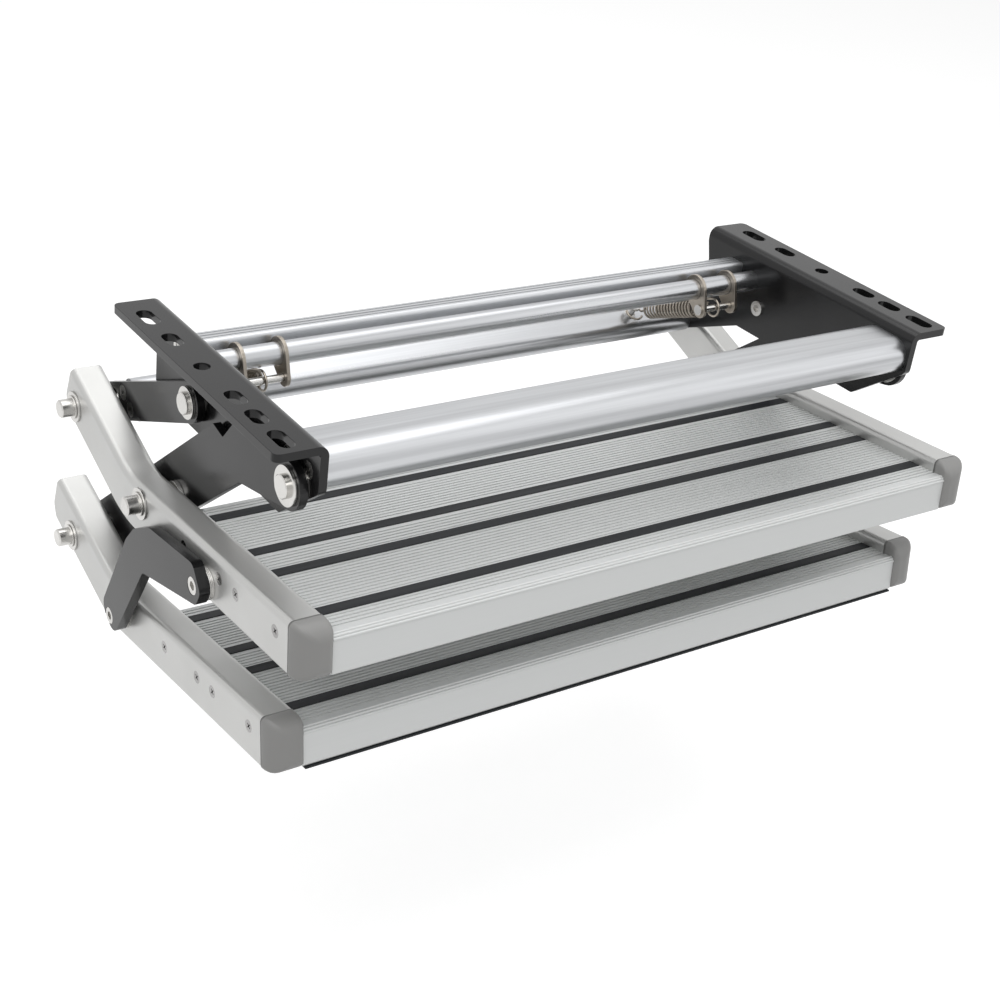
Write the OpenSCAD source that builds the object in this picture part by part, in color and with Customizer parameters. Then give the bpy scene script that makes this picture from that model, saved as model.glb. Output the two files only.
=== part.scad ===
// Pull-out entrance step for a caravan: two treads on a folding linkage under two bolted brackets
// X runs across the vehicle, -Y points out of the door and +Z is up
// The origin lies midway between the two round bolt holes, on the face that meets the floor frame
// The step is drawn stowed

/* [Brackets] */
// Clear width between the two bracket plates
inner_span = 523; // [440:1:700]
// Thickness of the bracket sheet
sheet_t = 6; // [4:0.5:8]
// Width of the bolted flange, from the inner face of the plate
flange_w = 38.5; // [36:0.5:50]
// Outside radius of the bend between flange and plate
bend_r = 8; // [7:0.5:12]
// Distance from the round hole to the front edge of the flange
flange_front = 131; // [128:1:150]
// Distance from the round hole to the rear edge of the flange
flange_back = 116.5; // [104:0.5:140]
// Depth of the plate below the top of the flange
plate_drop = 72.5; // [70:0.5:80]
// Set-back of the plate's rear edge from the flange's rear edge
plate_inset = 4.5; // [0:0.5:8]
// Diameter of the round bolt hole
bolt_d = 11.5; // [8:0.5:13]
// Width of the bolt slots
slot_w = 11.5; // [8:0.5:13]
// Distance from the flange's outer edge to the middle of the slots
slot_inset = 14; // [10:0.5:17]
// Length of the four short slots
slot_len = 21; // [14:0.5:24]
// Length of the slots nearest the two ends of the flange
end_slot_len = 25; // [14:0.5:25]
// Place of the front end slot
slot_front_y = -112.5; // [-113:0.5:-104]
// Place of the second slot from the front
slot_second_y = -79.5; // [-82:0.5:-76]
// Place of the third slot from the front
slot_third_y = -50.2; // [-53:0.1:-30]
// Place of the slot behind the round hole
slot_fourth_y = 45.9; // [25:0.1:58]
// Place of the rear end slot
slot_rear_y = 86.2; // [84:0.1:87]

/* [Linkage] */
// Depth position of the short links' pin on the bracket
short_pin_y = 40.8; // [38:0.1:43]
// Depth position of the long arms' pin on the bracket
arm_pin_y = -105.3; // [-107:0.1:-103]
// Height of the long arms' pin on the bracket
arm_pin_z = -38.7; // [-40:0.1:-37]
// Depth position of the upper step's front stud, carried by the long arms
upper_stud_y = 52.3; // [50:0.1:54]
// Height of the upper step's front stud
upper_stud_z = -128; // [-129:0.5:-127]
// Depth position of the upper step's rear stud, carried by the short links
rear_stud_y = 175; // [173:0.5:177]
// Height of the upper step's rear stud
rear_stud_z = -107.6; // [-109:0.1:-106]
// Depth position of the lower step's stud at the end of the long arms
lower_stud_y = 181.8; // [180:0.1:185]
// Height of the lower step's stud
lower_stud_z = -224.5; // [-227:0.5:-223]
// Depth position of the hook links' front bolt, on the upper step
hook_bolt_y = -57.3; // [-60:0.1:-54]
// Height of the hook links' front bolt
hook_bolt_z = -131.5; // [-133:0.5:-130]
// Depth position of the hook links' rear bolt, on the lower step
hook_end_y = 79.8; // [76:0.1:82]
// Angle that the long arms turn from stowed to in use
travel = 66; // [55:1:70]
// Thickness of the long arms and the short links
arm_t = 6; // [4:0.5:8]
// Half width of the long arm
arm_r = 23; // [20:0.5:24]
// Radius of the long arm's head around its bracket pin
arm_head_r = 17; // [15:0.5:19]
// Radius at the bottom of the notch in the arm's top edge
notch_r = 2; // [1:0.5:4]
// Half width of the short link
short_link_r = 15; // [14:0.5:16]
// Thickness of the hook links
hook_t = 8; // [6:0.5:9]
// Diameter of the pins in the brackets
pin_d = 12; // [9:0.5:13]
// Diameter of the studs through the rails
stud_d = 14; // [10:0.5:15]
// Diameter of the hook links' bolts
hook_bolt_d = 10; // [6:0.5:11]
// Thickness of the washer between bracket and arm
pin_washer_t = 1.7; // [1:0.1:3]
// Space between the arms and the rails
rail_gap = 3.7; // [2.5:0.1:6]
// Space between the rails and the hook links
hook_gap = 3.5; // [3:0.1:5]
// Radial clearance of a pin that turns in its hole
pin_fit = 0.05; // [0.02:0.01:0.1]
// Side clearance between parts that slide past each other
side_fit = 0.1; // [0.05:0.05:0.3]
// Length that the rear stud can slide in the short link's slot
rear_slide = 8.4; // [8:0.1:10]
// Extra half width of that slot
rear_slot_fit = 1.3; // [1:0.1:2]
// Angle between the slot and the middle line of the short link
rear_slot_lean = 14; // [0:1:20]
// Extra radius of the lower rail's hole for the hook link's bolt
hook_bolt_play = 2.3; // [2.2:0.1:2.5]

/* [Treads] */
// Depth of a tread from its nose to its rear edge
tread_depth = 205; // [195:1:206]
// Height of the tread extrusion
tread_h = 29; // [26:0.5:32]
// Height of the tread's top above the upper edge of its front face
nose_r = 5; // [3:0.5:7]
// Wall of the tread extrusion
tread_wall = 2.2; // [1.6:0.1:3]
// Spacing of the ribs on the tread
rib_pitch = 4; // [3:0.5:6]
// Depth of the grooves between the ribs
rib_h = 0.9; // [0.4:0.1:1.2]
// Width of a rubber strip
strip_w = 10; // [8:0.5:12]
// Thickness of a rubber strip
strip_t = 1.9; // [1.4:0.1:2.4]
// Depth of the channel that holds a rubber strip
strip_seat = 1.2; // [0.8:0.1:1.4]
// Distance from the upper tread's rear edge to the upper step's front stud
tread_gap = 29.4; // [25:0.1:34]
// Height of that stud above the tread's front edge, square to the tread
stud_rise = 3.2; // [2:0.1:6]
// Rearward slope of the stowed upper tread
upper_tilt = 5; // [4:0.5:6]
// Set-back of the lower tread's front edge from the upper one's
lower_set_back = 27.2; // [22:0.1:32]
// Distance of the lower tread's front edge below the upper one's
lower_drop = 90.4; // [88:0.1:94]
// Rearward slope of the stowed lower tread
lower_tilt = 8; // [7:0.5:9]

/* [Rails] */
// Width of a rail
rail_w = 25.5; // [22:0.5:32]
// Height of a rail
rail_h = 40; // [38:0.5:42]
// Wall of a rail
rail_wall = 2; // [1.5:0.1:3]
// Corner radius of a rail
rail_r = 5; // [3:0.5:7]
// Height of the rail's middle line above the tread's front edge
rail_mid = -4.5; // [-6:0.5:-3]
// Distance from the tread's front edge to the end cap's joint
cap_joint = 12; // [10:0.5:16]
// Distance that the end cap reaches in front of the tread
cap_nose = 4; // [2:0.5:8]
// Distance from the tread's rear edge to the start of the bend
bend_gap = 40; // [34:1:43]
// Radius of the bend on the middle line
rail_bend_r = 80; // [60:1:100]
// Angle of the bend
rail_bend = 25; // [22:1:28]
// Distance that the upper rail reaches behind its rear stud
upper_tail = 17; // [14:0.5:24]
// Distance that the lower rail reaches behind its stud
lower_tail = 39; // [30:0.5:45]
// Diameter of the screws that hold the rails to the treads
rail_screw_d = 4.6; // [3.5:0.1:4.6]
// Height of those screws above the tread's front edge
rail_screw_u = 0.5; // [-2:0.5:0.5]

/* [Tubes and springs] */
// Width of the front cross tube
front_tube_w = 50; // [44:1:50]
// Height of the front cross tube
front_tube_h = 30; // [24:1:30]
// Wall of the extruded cross tubes
tube_wall = 2.5; // [2:0.1:3]
// Diameter of the round rear tube
round_tube_d = 17; // [15:0.5:17]
// Width of the flat rear tube
flat_tube_w = 18; // [16:0.5:20]
// Height of the flat rear tube
flat_tube_h = 12; // [10:0.5:14]
// Width of the cross tube on the short links
link_tube_w = 36; // [32:1:38]
// Height of the cross tube on the short links
link_tube_h = 20; // [18:0.5:20]
// Distance from the rear stud to that tube, along the link
link_tube_back = 31.5; // [31.5:0.5:34]
// Slope of that tube's flat side
link_tube_slope = 30; // [20:1:35]
// Distance from the bracket plate to the spring's front end
spring_inset = 46.5; // [36:0.5:80]
// Distance from the bracket plate to the spring's rear end
anchor_inset = 146.5; // [120:0.5:170]
// Outside diameter of the spring
spring_d = 17; // [14:0.5:17]
// Diameter of the spring wire
wire_d = 2; // [1.6:0.1:2.4]
// Spacing of the spring's turns
wire_pitch = 2.7; // [2.6:0.1:3.4]
// Width of the spring saddle between the middles of its two ears
saddle_w = 34; // [28:1:40]
// Thickness of the saddle sheet
saddle_t = 3; // [2:0.5:4]
// Diameter of the pin that holds the spring
spring_pin_d = 6; // [4:0.5:6]

/* [Hidden] */
$fn = 48;
eps = 0.01;
fit = 0.1;

// Places across the step, from the middle plane outwards
plate_x = inner_span / 2;
plate_out = plate_x + sheet_t;
arm_x = plate_out + pin_washer_t + side_fit;
arm_out = arm_x + arm_t;
rail_x = arm_out + rail_gap;
rail_out = rail_x + rail_w;
hook_x = rail_out + hook_gap;
hook_out = hook_x + hook_t;
slot_x = plate_x + flange_w - slot_inset;

// Pivots as [depth, height] pairs
arm_pin = [arm_pin_y, arm_pin_z];
spring_x = plate_x - spring_inset;
spring_anchor_x = plate_x - anchor_inset;
upper_stud = [upper_stud_y, upper_stud_z];
rear_stud = [rear_stud_y, rear_stud_z];
lower_stud = [lower_stud_y, lower_stud_z];
hook_bolt = [hook_bolt_y, hook_bolt_z];

function turned(v, a) = [v.x * cos(a) - v.y * sin(a), v.x * sin(a) + v.y * cos(a)];
function unit(v) = v / norm(v);
// Height at depth y of the point that is equally far from a and b
function level_between(a, b, y) = (a * a - b * b - 2 * y * (a.x - b.x)) / (2 * (a.y - b.y));

// Front edges of the two treads
upper_front = upper_stud - turned([tread_depth + tread_gap, stud_rise], -upper_tilt);
lower_front = upper_front + [lower_set_back, -lower_drop];

// Both treads end level, which fixes the last two pivots of the linkage
upper_stud_end = arm_pin + turned(upper_stud - arm_pin, -travel);
rear_stud_end = upper_stud_end + turned(rear_stud - upper_stud, upper_tilt);
lower_stud_end = arm_pin + turned(lower_stud - arm_pin, -travel);
hook_bolt_end = upper_stud_end + turned(hook_bolt - upper_stud, upper_tilt);
hook_bolt_seen = lower_stud + turned(hook_bolt_end - lower_stud_end, -lower_tilt);
short_pin = [short_pin_y, level_between(rear_stud, rear_stud_end, short_pin_y)];
hook_end = [hook_end_y, level_between(hook_bolt, hook_bolt_seen, hook_end_y)];

// Frame tubes
tube_gap = 5;
tube_top = 8.5;
tube_margin = 2.5;
front_tube_c = [front_tube_w / 2 + tube_margin - flange_front, -tube_top - front_tube_h / 2];
tube_port_shift = 3;
flat_tube_c = [77.5, -22];
round_tube_c = [flat_tube_c.x - flat_tube_w / 2 - tube_gap - round_tube_d / 2, -27];
spring_pin_c = round_tube_c + [-10, -15];
saddle_rim = 4;
spring_head_t = 1.5;
link_dir = unit(short_pin - rear_stud);
link_tube_c = rear_stud + link_dir * link_tube_back;
rear_slot_end = rear_stud + turned(link_dir * rear_slide, -rear_slot_lean);
tube_screw_d = 6;
tube_screw_len = 26;
link_screw_len = 24;
port_wall = 2;

// Long arm: its nose, the notch's bottom and the directions of the notch's two sides
arm_front = arm_pin + [75.3, -9.8];
arm_notch = arm_pin + [92, -9.6];
notch_rear_a = 12;
notch_front_a = 130;

// Bracket plate's outline: its lowest front corner and the bends of its front and rear edges
plate_tip_y = -82;
plate_front_h = 34;
plate_bend_h = 28;
plate_step_h = 12;
plate_edge_r = 6;

// Tread details, as distances behind the tread's front edge
strips_b = [31, 91, 125, 185];
ports_b = [29, 84, 108.6, 162.5];
webs_b = [56, 137, 172];
front_bead_r = 1.1;

// Rail details
bend_start = tread_depth + bend_gap;
tail_slope_y = 11;
tail_slope_z = 13;
tail_r = 8;
plug_depth = 6;
cap_top_r = 14;
cap_low_r = 9;
cap_plug = 10;
plug_inset = 0.5;
screw_inset = 0.2;
tread_bite = 18;
trim_set_back = 4;
trim_w = 8;
trim_t = 1.5;

// Small hardware
washer_d = 24;
arm_washer_d = washer_d + 4;
pin_head_d = 16.5;
pin_head_t = 3;
pin_bevel = 0.6;
pin_foot_d = pin_d + 1;
pin_foot_t = 2;
socket_d = 7;
socket_depth = 3;
pin_outer_washer_t = 2.3;
stud_head_d = 19;
stud_head_t = 3;
stud_end = 11;
rail_washer_t = 1.5;
clip_t = 1.1;
clip_d = 18;
groove_depth = 1;
hook_washer_t = 1.05;
hook_head_d = hook_bolt_d + 3;
hook_head_t = 5;
hook_nut_t = 5;
hook_nut_d = 16;
stud_len_x = rail_out + fit + rail_washer_t + stud_end;

// Spring: a full turn loops over each pin and a straight stretch leads from it to the coil
turn_r = (spring_d - wire_d) / 2;
eye_gap = 0.4;
eye_shift = turn_r - spring_pin_d / 2 - wire_d / 2 - eye_gap;
hook_len = 22;
anchor_rise = 6;
anchor_neck = 10;
anchor_head_d = spring_pin_d + 4;
anchor_head_t = 3;
anchor_washer_t = 1.5;
spring_sides = 5;
spring_steps = 8;

// Outlines and small shapes

// Points of an arc of radius r that rounds the corner b between a and c
function corner(a, b, c, r, n = 6) =
    let (u = unit(a - b), v = unit(c - b), h = acos(u * v) / 2,
         m = b + unit(u + v) * r / sin(h),
         p = b + u * r / tan(h) - m, q = b + v * r / tan(h) - m,
         a0 = atan2(p.y, p.x), turn = atan2(p.x * q.y - p.y * q.x, p * q))
    [for (k = [0:n]) m + r * [cos(a0 + turn * k / n), sin(a0 + turn * k / n)]];

// Outline through the given points with each corner rounded by its own radius
function rounded(pts, radii) =
    let (n = len(pts))
    [for (i = [0:n - 1]) each radii[i] == 0 ? [pts[i]]
        : corner(pts[(i + n - 1) % n], pts[i], pts[(i + 1) % n], radii[i])];

// Points of an arc around c from angle a0 to angle a1
function arc(c, r, a0, a1, n = 16) =
    [for (k = [0:n]) let (a = a0 + (a1 - a0) * k / n) c + r * [cos(a), sin(a)]];

// Flat bar with round ends of radius ra at a and rb at b
module bar(a, ra, b, rb) {
    d = b - a;
    way = atan2(d.y, d.x);
    lean = acos((ra - rb) / norm(d));
    polygon(concat(arc(b, rb, way - lean, way + lean), arc(a, ra, way + lean, way + 360 - lean)));
}

module round_rect(w, h, r) {
    polygon(rounded([[-w, -h], [w, -h], [w, h], [-w, h]] / 2, [r, r, r, r]));
}

module oval(w, h) {
    square([w - h, h], center = true);
    for (i = [-1, 1]) translate([i * (w - h) / 2, 0]) circle(d = h);
}

// Plate in a plane across X: the outline's two coordinates are depth and height
module side_plate(x, t) {
    translate([x, 0, 0]) rotate([90, 0, 90]) linear_extrude(t) children();
}

// Round bar along X from x0 to x1 at the [depth, height] point c
module rod(c, d, x0, x1) {
    translate([x0, c.x, c.y]) rotate([0, 90, 0]) cylinder(d = d, h = x1 - x0);
}

module ring(c, d, bore, x0, x1) {
    difference() {
        rod(c, d, x0, x1);
        rod(c, bore, x0 - 1, x1 + 1);
    }
}

// Countersunk screw along X with its flat head's face at x, pointing inwards
module flat_screw(c, d, x, length) {
    head = d / 2;
    difference() {
        union() {
            rod(c, d, x - length, x - head + eps);
            translate([x - head, c.x, c.y]) rotate([0, 90, 0]) cylinder(d1 = d, d2 = 2 * d, h = head);
        }
        for (a = [0, 90])
            translate([x - head / 2, c.x, c.y]) rotate([45 + a, 0, 0])
                cube([head + eps, d, d / 5], center = true);
    }
}

// Hole that takes a flat_screw with clearance
module flat_screw_hole(c, d, x, depth) {
    head = d / 2 + fit;
    rod(c, d + 2 * fit, x - depth, x + 1);
    translate([x - head, c.x, c.y]) rotate([0, 90, 0])
        cylinder(d1 = d + 2 * fit, d2 = 2 * (d + 2 * fit), h = head);
}

module at_tread(front, tilt) {
    translate([0, front.x, front.y]) rotate([-tilt, 0, 0]) children();
}

module both_sides() {
    children();
    mirror([1, 0, 0]) children();
}

// Fixed frame

function plate_outline() = let (back = flange_back - plate_inset) [
    [-flange_front, 1], [flange_back, 1], [flange_back, -plate_step_h], [back, -plate_bend_h],
    [back, bend_r - plate_drop], [back - plate_edge_r, -plate_drop], [plate_tip_y, -plate_drop],
    [-flange_front, -plate_front_h]
];

module slot(y, length) {
    translate([slot_x, y, -sheet_t - 1]) linear_extrude(sheet_t + 2) rotate(90) oval(length, slot_w);
}

module bracket() {
    color("dimgray") difference() {
        intersection() {
            translate([0, flange_back, 0]) rotate([90, 0, 0]) linear_extrude(flange_back + flange_front)
                bent_section();
            side_plate(plate_x - 1, flange_w + 2)
                polygon(rounded(plate_outline(), [0, 0, 8, 8, 4, 4, 3, plate_edge_r]));
            translate([plate_x - 1, 0, -plate_drop - 1]) linear_extrude(plate_drop + 2)
                polygon(rounded([[0, -flange_front], [flange_w + 1, -flange_front],
                    [flange_w + 1, flange_back], [0, flange_back]], [0, 5, 5, 0]));
        }
        slot(slot_front_y, end_slot_len);
        slot(slot_second_y, slot_len);
        slot(slot_third_y, slot_len);
        slot(slot_fourth_y, slot_len);
        slot(slot_rear_y, end_slot_len);
        translate([slot_x, 0, -sheet_t - 1]) cylinder(d = bolt_d, h = sheet_t + 2);
        for (c = [short_pin, arm_pin]) rod(c, pin_d + 2 * pin_fit, plate_x - 1, plate_out + 1);
        for (c = frame_screws()) flat_screw_hole(c, tube_screw_d, plate_out, sheet_t + 1);
    }
}

// Section of the bent sheet, with the plate's inner face at plate_x and the flange's top at 0
module bent_section() {
    inner = bend_r - sheet_t;
    difference() {
        translate([plate_x, -plate_drop]) square([flange_w, plate_drop]);
        translate([plate_out + inner, -plate_drop - 1]) square([flange_w, plate_drop + 1 - sheet_t]);
        translate([plate_out, -plate_drop - 1]) square([inner + 1, plate_drop + 1 - bend_r]);
        translate([plate_x + bend_r, -bend_r]) circle(r = inner);
        translate([plate_x - 1, -bend_r]) difference() {
            square([bend_r + 1, bend_r + 1]);
            translate([bend_r + 1, 0]) circle(r = bend_r);
        }
    }
}

function frame_screws() = let (reach = front_port_reach()) [
    front_tube_c - [reach, 0], front_tube_c + [reach, 0], flat_tube_c, round_tube_c
];

function front_port_reach() = (front_tube_w - front_tube_h) / 2 + tube_port_shift;

// Flat oval extrusion with a round screw port in each half
module oval_tube_section(w, h, wall, reach) {
    difference() {
        oval(w, h);
        difference() {
            oval(w - 2 * wall, h - 2 * wall);
            for (i = [-1, 1]) translate([i * reach, 0]) circle(d = tube_screw_d + 2 * port_wall);
            for (i = [-1, 1]) translate([i * reach, 0]) square([port_wall, h], center = true);
        }
        for (i = [-1, 1]) translate([i * reach, 0]) circle(d = tube_screw_d + 2 * fit);
    }
}

module front_cross_tube() {
    color("silver") side_plate(-plate_x, inner_span) translate(front_tube_c)
        oval_tube_section(front_tube_w, front_tube_h, tube_wall, front_port_reach());
}

module rear_flat_tube() {
    color("silver") side_plate(-plate_x, inner_span) translate(flat_tube_c) difference() {
        round_rect(flat_tube_w, flat_tube_h, 3);
        circle(d = tube_screw_d + 2 * fit);
        for (i = [-1, 1]) translate([i * flat_tube_w / 3.4, 0])
            square([flat_tube_w / 5, flat_tube_h - 2 * tube_wall], center = true);
        for (i = [-1, 0, 1]) translate([i * 4, flat_tube_h / 2]) square([1.2, 1.2], center = true);
    }
}

module rear_round_tube() {
    color("silver") side_plate(-plate_x, inner_span) translate(round_tube_c) difference() {
        circle(d = round_tube_d);
        circle(d = tube_screw_d + 2 * fit);
    }
}

module cross_tube_screws() {
    color("lightgray") both_sides() for (c = frame_screws())
        flat_screw(c, tube_screw_d, plate_out, tube_screw_len);
}

// Pin from the plate's inner face, with its raised head on the outer washer
module bracket_pin(c) {
    outer = arm_out + side_fit + pin_outer_washer_t;
    bevel_x = outer + pin_head_t - pin_bevel;
    rod(c, pin_d, plate_x, outer + eps);
    rod(c, pin_head_d, outer, bevel_x + eps);
    translate([bevel_x, c.x, c.y]) rotate([0, 90, 0])
        cylinder(d1 = pin_head_d, d2 = pin_head_d - 2 * pin_bevel, h = pin_bevel);
}

module bracket_pins() {
    color("lightgray") both_sides() {
        bracket_pin(arm_pin);
        difference() {
            union() {
                bracket_pin(short_pin);
                rod(short_pin, pin_d, plate_x - pin_foot_t, plate_x + eps);
                rod(short_pin, pin_foot_d, plate_x - pin_foot_t, plate_x);
            }
            translate([plate_x - pin_foot_t - 1, short_pin.x, short_pin.y]) rotate([0, 90, 0])
                cylinder(d = socket_d, h = socket_depth + 1, $fn = 6);
        }
    }
}

module bracket_washers() {
    color("lightgray") both_sides() for (c = [short_pin, arm_pin]) {
        d = c == arm_pin ? arm_washer_d : washer_d;
        bore = pin_d + 2 * fit;
        ring(c, d, bore, plate_out, plate_out + pin_washer_t);
        ring(c, d, bore, arm_out + side_fit, arm_out + side_fit + pin_outer_washer_t);
    }
}

// Two sheet ears round the round tube, with holes for the pin that holds the spring
module spring_saddle() {
    color("rosybrown") difference() {
        for (i = [-1, 1]) side_plate(spring_x + i * saddle_w / 2 - saddle_t / 2, saddle_t)
            bar(round_tube_c, round_tube_d / 2 + saddle_rim, spring_pin_c, spring_pin_d / 2 + saddle_rim);
        rod(round_tube_c, round_tube_d + 2 * fit, spring_x - saddle_w, spring_x + saddle_w);
        rod(spring_pin_c, spring_pin_d + 2 * fit, spring_x - saddle_w, spring_x + saddle_w);
    }
}

module spring_pins() {
    ear = saddle_w / 2 + saddle_t / 2 + side_fit;
    color("lightgray") both_sides() {
        rod(spring_pin_c, spring_pin_d, spring_x - ear - eps, spring_x + ear + eps);
        for (x = [spring_x - ear - spring_head_t, spring_x + ear])
            rod(spring_pin_c, spring_pin_d + 3, x, x + spring_head_t);
    }
}

// Springs

function cross3(a, b) = [a.y * b.z - a.z * b.y, a.z * b.x - a.x * b.z, a.x * b.y - a.y * b.x];

// Turn over the pin at c with axis q, open on the far side and leading off along way
function spring_eye(c, q, way) =
    let (e1 = unit(way - (way * q) * q), e2 = cross3(q, e1), m = c + eye_shift * e1)
    [for (a = [400:-31:90]) m + turn_r * (cos(a) * e1 + sin(a) * e2)];

// Coil of a spring that starts a hook's length from its pin, with axis way
function spring_coil(from, way, length) =
    let (body = length - 2 * hook_len, turns = floor(body / wire_pitch),
         rise = body / turns, e1 = unit(cross3([1, 0, 0], way)), e2 = cross3(way, e1))
    [for (k = [0:turns * spring_steps]) let (a = 360 * k / spring_steps)
        from + turn_r * (cos(a) * e1 + sin(a) * e2) + (hook_len + rise * k / spring_steps) * way];

function backwards(list) = [for (i = [len(list) - 1:-1:0]) list[i]];

// Round wire swept along a route, its section carried along without twist
module wire(route, d, sides) {
    n = len(route);
    ways = [for (i = [0:n - 1]) unit(route[min(i + 1, n - 1)] - route[max(i - 1, 0)])];
    first = unit(cross3(ways[0], [0.3, 0.5, 0.8]));
    across = [for (i = 0, s = first; i < n; i = i + 1,
        s = i < n ? unit(s - (s * ways[i]) * ways[i]) : s) s];
    pts = [for (i = [0:n - 1]) let (t = cross3(ways[i], across[i]))
        for (j = [0:sides - 1]) let (a = 360 * j / sides)
            route[i] + d / 2 * (cos(a) * across[i] + sin(a) * t)];
    last = (n - 1) * sides;
    polyhedron(points = pts, faces = concat(
        [for (j = [1:sides - 2]) [0, j, j + 1]],
        [for (i = [0:n - 2], j = [0:sides - 1]) let (k = (j + 1) % sides, a = i * sides, b = a + sides)
            each [[a + j, b + j, b + k], [a + j, b + k, a + k]]],
        [for (j = [1:sides - 2]) [last, last + j + 1, last + j]]
    ));
}

// Anchor screw on the link tube: foot on the tube's flat side, at the height of the spring's eye
anchor_up = turned([0, 1], link_tube_slope);
anchor_foot = link_tube_c + anchor_up * link_tube_h / 2;
anchor_eye = anchor_foot + anchor_up * anchor_rise;

module spring() {
    from = [spring_x, spring_pin_c.x, spring_pin_c.y];
    to = [spring_anchor_x, anchor_eye.x, anchor_eye.y];
    way = unit(to - from);
    color("rosybrown") wire(concat(
        spring_eye(from, [1, 0, 0], way),
        spring_coil(from, way, norm(to - from)),
        backwards(spring_eye(to, [0, anchor_up.x, anchor_up.y], -way))
    ), wire_d, spring_sides);
}

// Arms and links

module long_arm() {
    color("dimgray") side_plate(arm_x, arm_t) difference() {
        union() {
            bar(arm_pin, arm_head_r, arm_front, arm_r);
            bar(arm_front, arm_r, lower_stud, arm_r);
        }
        translate(arm_notch) polygon(rounded([[0, 0], turned([2 * arm_r, 0], notch_rear_a),
            turned([2 * arm_r, 0], notch_front_a)], [notch_r, 0, 0]));
        translate(arm_pin) circle(d = pin_d + 2 * pin_fit);
        for (c = [upper_stud, lower_stud]) translate(c) circle(d = stud_d + 2 * pin_fit);
    }
}

function link_screws() = let (reach = (link_tube_w - link_tube_h) / 2) [
    for (i = [-1, 1]) link_tube_c + turned([i * reach, 0], link_tube_slope)
];

module short_link() {
    color("dimgray") difference() {
        side_plate(arm_x, arm_t) difference() {
            bar(short_pin, short_link_r, rear_stud, short_link_r);
            translate(short_pin) circle(d = pin_d + 2 * pin_fit);
            bar(rear_stud, stud_d / 2 + rear_slot_fit, rear_slot_end, stud_d / 2 + rear_slot_fit);
        }
        for (c = link_screws()) flat_screw_hole(c, tube_screw_d, arm_out, arm_t + 1);
    }
}

module link_cross_tube() {
    color("silver") difference() {
        side_plate(-arm_x, 2 * arm_x) translate(link_tube_c) rotate(link_tube_slope)
            oval_tube_section(link_tube_w, link_tube_h, tube_wall, (link_tube_w - link_tube_h) / 2);
        for (s = [-1, 1]) translate([s * spring_anchor_x, anchor_foot.x, anchor_foot.y])
            rotate([link_tube_slope, 0, 0]) translate([0, 0, -tube_wall - 1])
                cylinder(d = spring_pin_d + 2 * fit, h = tube_wall + 2);
    }
}

module link_tube_screws() {
    color("lightgray") both_sides() for (c = link_screws())
        flat_screw(c, tube_screw_d, arm_out, link_screw_len);
}

module spring_anchor_screws() {
    color("lightgray") both_sides() translate([spring_anchor_x, anchor_foot.x, anchor_foot.y])
        rotate([link_tube_slope, 0, 0]) {
            translate([0, 0, -tube_wall]) cylinder(d = spring_pin_d, h = tube_wall + anchor_neck);
            cylinder(d = anchor_head_d, h = anchor_washer_t);
            translate([0, 0, anchor_neck - eps]) cylinder(d = anchor_head_d, h = anchor_head_t);
        }
}

// Treads

module tread_section() {
    bottom = nose_r - tread_h;
    difference() {
        polygon(rounded([[0, bottom], [0, nose_r], [tread_depth, nose_r], [tread_depth, bottom]],
            [2, nose_r, 1.5, 2]));
        tread_chambers();
        for (b = ports_b) translate([b, rail_screw_u]) circle(d = rail_screw_d + 2 * fit);
        for (b = strips_b) translate([b - strip_w / 2 - fit, nose_r - strip_seat])
            square([strip_w + 2 * fit, strip_seat + 1]);
        for (b = [nose_r + 6:rib_pitch:tread_depth - 4])
            if (min([for (s = strips_b) abs(b - s)]) > strip_w / 2 + rib_pitch / 3)
                translate([b - rib_pitch / 5, nose_r - rib_h]) square([rib_pitch / 2.5, rib_h + 1]);
    }
    for (k = [0:2]) translate([nose_r - nose_r * cos(22 + 23 * k), nose_r * sin(22 + 23 * k)])
        circle(r = front_bead_r);
}

module tread_chambers() {
    stops = concat([tread_wall / 2], webs_b, [tread_depth - tread_wall / 2]);
    low = nose_r - tread_h + tread_wall;
    high = nose_r - strip_seat - tread_wall;
    for (i = [0:len(stops) - 2]) difference() {
        polygon(rounded([
            [stops[i] + tread_wall / 2, low], [stops[i + 1] - tread_wall / 2, low],
            [stops[i + 1] - tread_wall / 2, high], [stops[i] + tread_wall / 2, high]
        ], [2, 2, 2, 2]));
        for (b = ports_b) {
            translate([b, rail_screw_u]) circle(d = rail_screw_d + 2 * fit + 2 * port_wall);
            translate([b - rail_screw_d / 2 - port_wall, rail_screw_u])
                square([rail_screw_d + 2 * port_wall, nose_r]);
        }
    }
}

module tread(front, tilt) {
    color("lightsteelblue") at_tread(front, tilt) side_plate(-rail_x, 2 * rail_x) tread_section();
}

module grip_strips(front, tilt) {
    color("darkslategray") at_tread(front, tilt) for (b = strips_b)
        translate([-rail_x + 1, b - strip_w / 2, nose_r - strip_seat])
            cube([2 * rail_x - 2, strip_w, strip_t]);
}

// Rails

module rail_section(grow) {
    round_rect(rail_w + 2 * grow, rail_h + 2 * grow, rail_r + grow);
}

// Frame at the end of the bend, with Y along the tail of the rail
tail_start = [bend_start + rail_bend_r * sin(rail_bend), rail_mid + rail_bend_r * (1 - cos(rail_bend))];

module at_tail() {
    translate([0, tail_start.x, tail_start.y]) rotate([rail_bend, 0, 0]) children();
}

// Length of the tail that reaches a set distance behind a stud
function tail_length(front, tilt, stud, over) =
    turned(turned(stud - front, tilt) - tail_start, -rail_bend).x + over;

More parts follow.
